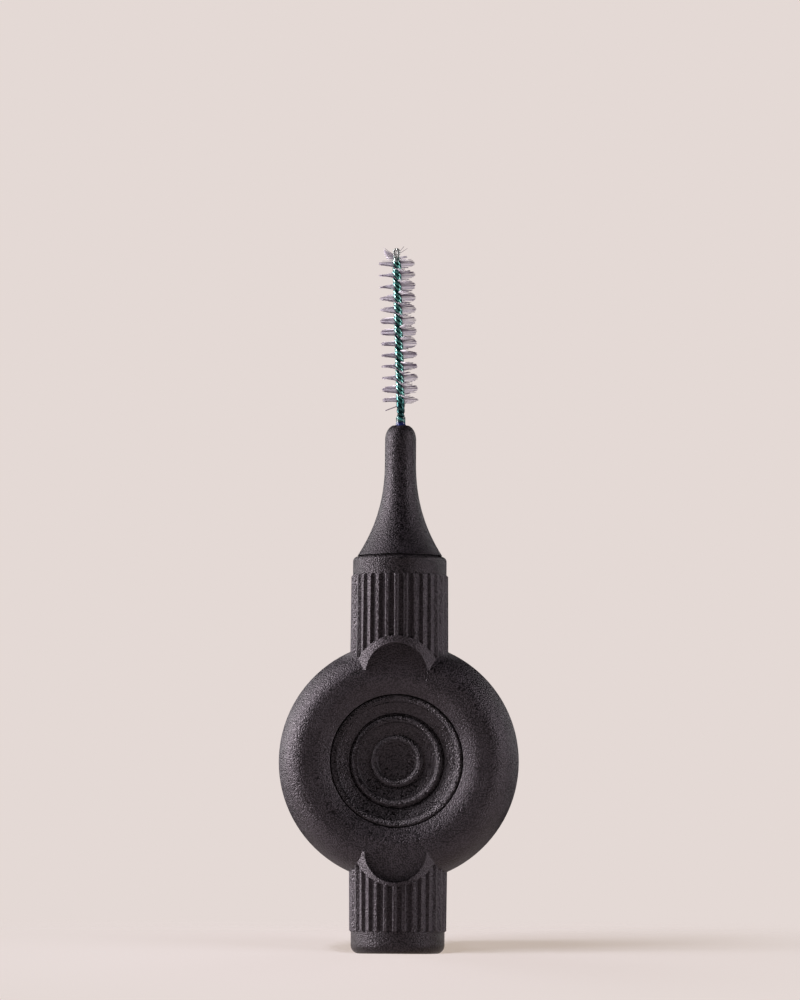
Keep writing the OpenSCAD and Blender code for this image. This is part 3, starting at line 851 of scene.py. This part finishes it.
studio = {
    "background": (228, 217, 213),
    "surroundings": (90, 86, 88),
    "surroundStrength": 0.05,
    "floorSides": 96,
    "floorRings": 60,
    "floorReach": 400.0,
    "floorFade": 160.0,
    "floorHeight": 0.53,        # beside the brush
    "floorRise": 0.125,         # per mm towards the back
    "floorRange": (-7.0, 4.0),  # lowest and highest point
    "floorDip": (4.0, 6.5),     # the floor comes down to the foot's underside between these radii
    "floorGap": 0.01,           # between the floor and the foot
    "floorClear": (1.6, 3.0),   # heights between which it fades out
    "floorCalm": (14.0, 44.0),  # distances between which it takes on the background's even tone
    "floorColour": (157, 158, 167),
    "floorGlow": (180, 164, 150),
}
# Place by azimuth round the brush (0 is the front, -90 its left side) and elevation, in degrees; sizes in mm
softLights = {
    "keyLeft": {"azimuth": -84, "elevation": 14, "size": (70, 160), "power": 1.95},
    "sideLeft": {"azimuth": -70, "elevation": 16, "size": (120, 240), "power": 0.4},
    "rimLeft": {"azimuth": -130, "elevation": 14, "size": (120, 300), "power": 0.52},
    "highLeft": {"azimuth": -74, "elevation": 44, "size": (120, 120), "power": 0.8},
    "lowLeft": {"azimuth": -90, "elevation": 3, "size": (120, 60), "power": 0.35},
    "fillRight": {"azimuth": 76, "elevation": 17, "size": (170, 240), "power": 0.9},
    "rimRight": {"azimuth": 140, "elevation": 14, "size": (120, 300), "power": 0.22},
}
lightDistance = 420.0
lightAim = 28.0         # height that they point at
lightColour = (255, 251, 252)


def addLight(name, look):
    azimuth, elevation = math.radians(look["azimuth"]), math.radians(look["elevation"])
    aim = Vector((0, 0, lightAim * mm))
    away = Vector((math.sin(azimuth) * math.cos(elevation), -math.cos(azimuth) * math.cos(elevation),
                   math.sin(elevation)))
    data = bpy.data.lights.new(name, "AREA")
    data.shape = "RECTANGLE"
    data.size, data.size_y = look["size"][0] * mm, look["size"][1] * mm
    data.energy = look["power"]
    data.color = linear(*lightColour)[:3]
    light = bpy.data.objects.new(name, data)
    bpy.context.scene.collection.objects.link(light)
    turn = away.to_track_quat("Z", "Y").to_matrix().to_4x4()
    light.matrix_world = Matrix.Translation(aim + away * lightDistance * mm) @ turn
    light.visible_camera = False


for lightName, lightLook in softLights.items():
    addLight(lightName, lightLook)


def mixShaders(tree, share, first, second):
    mix = addNode(tree, "ShaderNodeMixShader", Fac=share)
    for value, socket in zip((first, second), mix.inputs[1:]):
        plug(tree, value.outputs[0], socket)
    return mix


def makeWorld(look):
    world = bpy.data.worlds.new("studioWorld")
    bpy.context.scene.world = world
    world.use_nodes = True
    tree = world.node_tree
    tree.nodes.clear()
    seen = addNode(tree, "ShaderNodeBackground", Color=linear(*look["background"]), Strength=1.0)
    around = addNode(tree, "ShaderNodeBackground", Color=linear(*look["surroundings"]),
                     Strength=look["surroundStrength"])
    path = addNode(tree, "ShaderNodeLightPath")
    whole = mixShaders(tree, path.outputs["Is Camera Ray"], around, seen)
    addNode(tree, "ShaderNodeOutputWorld", Surface=whole.outputs[0])


def floorPoint(look, radius, angle):
    # The floor rises gently towards the back, like a photographer's paper sweep
    x, y = radius * math.sin(angle), radius * math.cos(angle)
    low, high = look["floorRange"]
    inner, outer = look["floorDip"]
    share = min(1, max(0, (radius - inner) / (outer - inner)))
    height = min(high, max(low, look["floorHeight"] + look["floorRise"] * y))
    return x * mm, y * mm, (height * share * share * (3 - 2 * share) - look["floorGap"]) * mm


def makeFloorMesh(look):
    # Rings of faces round the foot, which grow wider outwards
    sides, rings = look["floorSides"], look["floorRings"]
    inner, reach = look["floorDip"][0], look["floorReach"]
    radii = [inner * (reach / inner) ** (ring / rings) for ring in range(rings + 1)]
    corners = [floorPoint(look, radius, 2 * math.pi * i / sides) for radius in radii for i in range(sides)]
    faces = [tuple(reversed(range(sides)))]
    for ring in range(rings):
        for i in range(sides):
            here, right = ring * sides + i, ring * sides + (i + 1) % sides
            faces.append((here, right, right + sides, here + sides))
    mesh = bpy.data.meshes.new("studioFloor")
    mesh.from_pydata(corners, [], faces)
    return mesh


def makeFloorPaper(look):
    # Matt paper near the brush, which takes on the background's even tone and then fades out
    material = bpy.data.materials.new("studioFloor")
    material.use_nodes = True
    tree = material.node_tree
    tree.nodes.clear()
    place = objectPlace(tree)
    distance = addNode(tree, "ShaderNodeVectorMath", {"operation": "LENGTH"}, Vector=place)
    far = Number(tree, distance.outputs["Value"]) / mm
    height = splitPlace(tree, place)[2]
    # lit as if it were level, so that its slope casts no tone of its own
    level = combine(tree, 0.0, 0.0, 1.0)
    near = addNode(tree, "ShaderNodeAddShader")
    matt = addNode(tree, "ShaderNodeBsdfDiffuse", Color=linear(*look["floorColour"]), Normal=level)
    glow = addNode(tree, "ShaderNodeEmission", Color=linear(*look["floorGlow"]), Strength=1.0)
    for value, socket in zip((matt, glow), near.inputs):
        plug(tree, value.outputs[0], socket)
    even = addNode(tree, "ShaderNodeEmission", Color=linear(*look["background"]), Strength=1.0)
    lit = mixShaders(tree, mapShare(tree, far, *look["floorCalm"]), near, even)
    edge = mapShare(tree, far, look["floorReach"] - look["floorFade"], look["floorReach"])
    high = mapShare(tree, height, *look["floorClear"])
    clear = addNode(tree, "ShaderNodeBsdfTransparent")
    whole = mixShaders(tree, edge.ease().math("MAXIMUM", high.ease()), lit, clear)
    addNode(tree, "ShaderNodeOutputMaterial", Surface=whole.outputs[0])
    return material


def makeFloor(look):
    mesh = makeFloorMesh(look)
    mesh.materials.append(makeFloorPaper(look))
    floor = bpy.data.objects.new("studioFloor", mesh)
    bpy.context.scene.collection.objects.link(floor)


makeWorld(studio)
makeFloor(studio)
bpy.context.scene.view_settings.view_transform = "Standard"
print("studio set")
